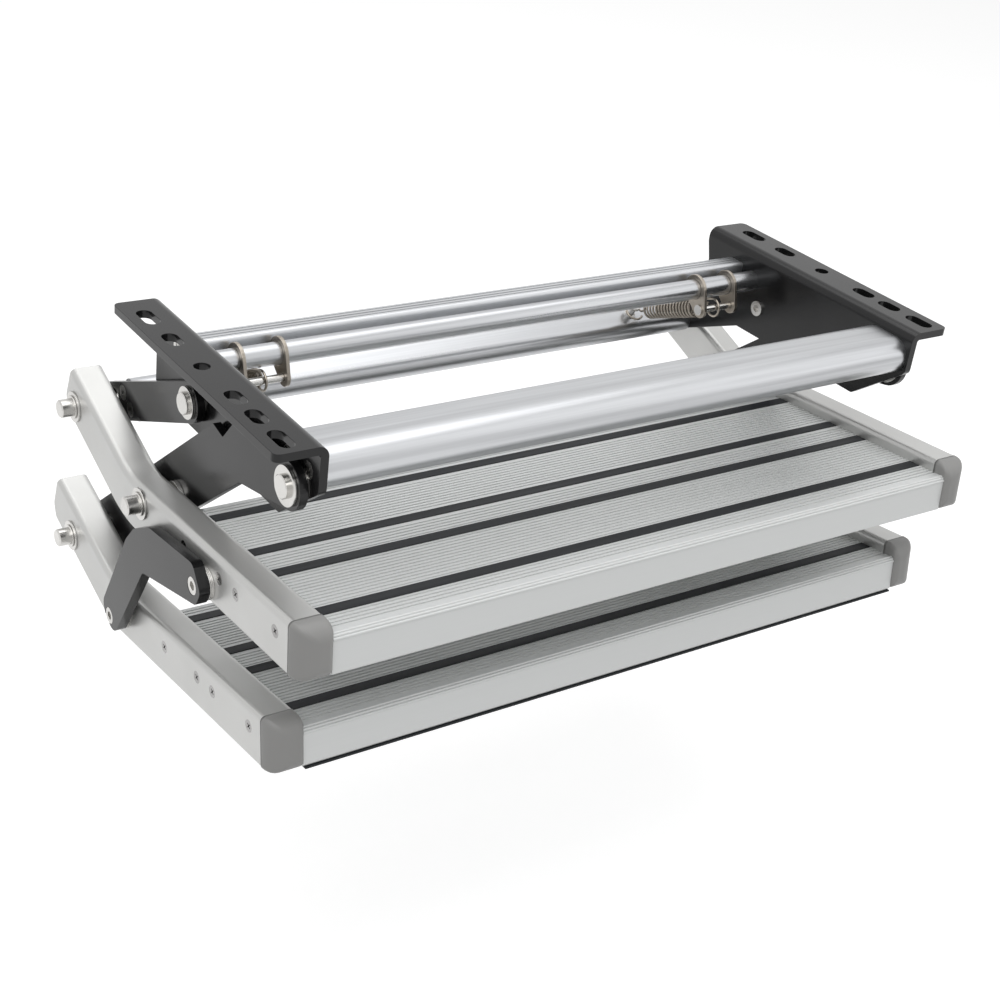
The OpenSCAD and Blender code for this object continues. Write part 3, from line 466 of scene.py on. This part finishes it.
def makeCap(step, side):
    # a section as the rail's, drawn in towards the front on all four sides
    s = capSizes
    low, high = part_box(step + "_" + side + "_cap")
    width = high[0] - low[0]
    joint = s[step]["front"] + s["length"]
    bpy.ops.mesh.primitive_plane_add(
        size=1, location=((low[0] + high[0]) / 2, joint, s[step]["low"] + s["height"] / 2),
        rotation=(math.radians(90), 0, 0))
    piece = bpy.context.object
    piece.name = step + side.capitalize() + "Cap"
    piece.scale = (width, s["height"], 1)
    bpy.ops.object.transform_apply(location=True, rotation=True, scale=True)
    leftRound, rightRound = s["outerRound"], s["innerRound"]
    if side == "right":
        leftRound, rightRound = rightRound, leftRound
    bpy.ops.object.mode_set(mode="EDIT")
    bpy.ops.mesh.select_all(action="SELECT")
    bpy.ops.mesh.bevel(offset=s["corner"], segments=s["cornerSteps"], affect="VERTICES")
    bpy.ops.mesh.select_all(action="SELECT")
    before = (0.0, width, 0.0, s["height"])
    place = joint
    for k in range(1, s["sections"] + 1):
        depth = s["length"] * (1 - math.sin(math.radians(90 * k / s["sections"])))
        after = (roundedOff(leftRound, depth), width - roundedOff(rightRound, depth),
                 roundedOff(s["lowRound"], depth), s["height"] - roundedOff(s["topRound"], depth))
        bpy.ops.mesh.extrude_region_move(
            TRANSFORM_OT_translate={"value": (0, s[step]["front"] + depth - place, 0)})
        place = s[step]["front"] + depth
        acrossScale = (after[1] - after[0]) / (before[1] - before[0])
        heightScale = (after[3] - after[2]) / (before[3] - before[2])
        bpy.ops.transform.resize(
            value=(acrossScale, 1, heightScale),
            center_override=(low[0] + (before[0] + before[1]) / 2, place,
                             s[step]["low"] + (before[2] + before[3]) / 2))
        bpy.ops.transform.translate(
            value=((after[0] + after[1] - before[0] - before[1]) / 2, 0,
                   (after[2] + after[3] - before[2] - before[3]) / 2))
        before = after
    bpy.ops.mesh.select_all(action="SELECT")
    bpy.ops.mesh.normals_make_consistent(inside=False)
    bpy.ops.object.mode_set(mode="OBJECT")
    bpy.ops.object.shade_smooth()
    turn = Matrix.Rotation(math.radians(s[step]["tilt"]), 4, "X")
    piece.matrix_world = turn @ piece.matrix_world
    bpy.ops.object.transform_apply(location=True, rotation=True, scale=True)
    piece.data.materials.clear()
    piece.data.materials.append(capPlastic)
    flat = piece.modifiers.new("flatFaces", "WEIGHTED_NORMAL")
    flat.mode = "FACE_AREA"
    flat.weight = 80
    return piece


for step in ("upper", "lower"):
    for side in ("left", "right"):
        cap = makeCap(step, side)
        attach(cap, step + "_step")
        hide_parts(step + "_" + side + "_cap")
print("caps rounded")

trimSizes = {
    "length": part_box("lower_edge_trim")[1][0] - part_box("lower_edge_trim")[0][0],
    "depth": 0.0129,
    "thick": 0.0014,
    "middle": (0, -0.152236, -0.22644),
    "tilt": -8,
}
bpy.ops.mesh.primitive_cube_add(
    size=1, location=trimSizes["middle"], rotation=(math.radians(trimSizes["tilt"]), 0, 0),
    scale=(trimSizes["length"], trimSizes["depth"], trimSizes["thick"]))
edgeTrim = bpy.context.object
edgeTrim.name = "edgeTrim"
bpy.ops.object.transform_apply(location=True, rotation=True, scale=True)
edgeTrim.data.materials.clear()
edgeTrim.data.materials.append(gripRubber)
breakEdges(edgeTrim, 0.0002)
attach(edgeTrim, "lower_step")
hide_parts("lower_edge_trim")
print("edge trim laid")

pinLow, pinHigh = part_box("spring_pins")
for side, sign in (("left", -1), ("right", 1)):
    saddleLow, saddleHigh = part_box(side + "_spring_saddle")
    pin = Vector(((saddleLow[0] + saddleHigh[0]) / 2, (pinLow[1] + pinHigh[1]) / 2,
                  (pinLow[2] + pinHigh[2]) / 2))
    anchor = Vector(springSizes["anchor"])
    anchor.x *= sign
    route, coilStart, coilEnd = springRoute(pin, Vector((1, 0, 0)), anchor,
                                            Vector(springSizes["anchorUp"]))
    spring = makeSpring(side + "Spring", route)
    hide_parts(side + "_spring")
    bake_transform(spring)
print("springs wound")

floorSizes = {"size": 60.0, "top": -0.475, "glow": 0.6}
bpy.ops.mesh.primitive_plane_add(size=floorSizes["size"], location=(0, 0, floorSizes["top"]))
floor = bpy.context.object
floor.name = "floor"
bpy.ops.object.transform_apply(location=True, rotation=False, scale=False)


def seenRay(tree):
    # 1 where the camera, a metal or a glass sees the background, 0 where it lights the object
    rays = tree.nodes.new("ShaderNodeLightPath")
    total = rays.outputs["Is Camera Ray"]
    for label in ("Is Glossy Ray", "Is Transmission Ray"):
        either = tree.nodes.new("ShaderNodeMath")
        either.operation = "MAXIMUM"
        tree.links.new(total, either.inputs[0])
        tree.links.new(rays.outputs[label], either.inputs[1])
        total = either.outputs[0]
    return total


paper = bpy.data.materials.new("paper")
paper.use_nodes = True
sheet = paper.node_tree
sheetShader = sheet.nodes["Principled BSDF"]
sheetShader.inputs["Base Color"].default_value = (0.6, 0.6, 0.6, 1)
sheetShader.inputs["Roughness"].default_value = 0.9
sheetShader.inputs["Specular IOR Level"].default_value = 0.0
sheetShader.inputs["Emission Color"].default_value = (1, 1, 1, 1)
glow = sheet.nodes.new("ShaderNodeMath")
glow.operation = "MULTIPLY"
glow.inputs[1].default_value = floorSizes["glow"]
sheet.links.new(seenRay(sheet), glow.inputs[0])
sheet.links.new(glow.outputs[0], sheetShader.inputs["Emission Strength"])
floor.data.materials.append(paper)

cameraPlace = {
    "centre": (-0.74343, -0.92913, 0.47793),
    "forward": (0.53918, 0.69527, -0.47528),
    "right": (0.82193, -0.55746, 0.11694),
    "lens": 60.74,
}
bpy.ops.object.camera_add()
camera = bpy.context.object
forward = Vector(cameraPlace["forward"]).normalized()
right = Vector(cameraPlace["right"]).normalized()
up = right.cross(forward)
turn = Matrix((right, up, -forward)).transposed().to_4x4()
camera.matrix_world = Matrix.Translation(cameraPlace["centre"]) @ turn
camera.data.lens = cameraPlace["lens"]
camera.data.sensor_width = 36
camera.data.clip_start = 0.05
bpy.context.scene.camera = camera

lamps = {
    "key": {"place": (-1.6, -1.6, 2.4), "size": 2.2, "power": 33},
    "fill": {"place": (2.2, -1.4, 1.2), "size": 2.4, "power": 9},
    "top": {"place": (0.2, 0.4, 2.6), "size": 3.0, "power": 38},
}
for name, lamp in lamps.items():
    bpy.ops.object.light_add(type="AREA", location=lamp["place"])
    light = bpy.context.object
    light.name = name
    light.data.size = lamp["size"]
    light.data.energy = lamp["power"]
    aim = Vector((0, -0.05, -0.12)) - Vector(lamp["place"])
    light.rotation_mode = "QUATERNION"
    light.rotation_quaternion = aim.to_track_quat("-Z", "Y")

world = bpy.data.worlds.new("studio")
bpy.context.scene.world = world
world.use_nodes = True
sky = world.node_tree
back = sky.nodes["Background"]
seen = sky.nodes.new("ShaderNodeMix")
seen.data_type = "FLOAT"
seen.inputs["A"].default_value = 0.5
seen.inputs["B"].default_value = 1.0
sky.links.new(seenRay(sky), seen.inputs["Factor"])
back.inputs["Color"].default_value = (1, 1, 1, 1)
sky.links.new(seen.outputs["Result"], back.inputs["Strength"])
bpy.context.scene.view_settings.view_transform = "Standard"
print("stage lit")
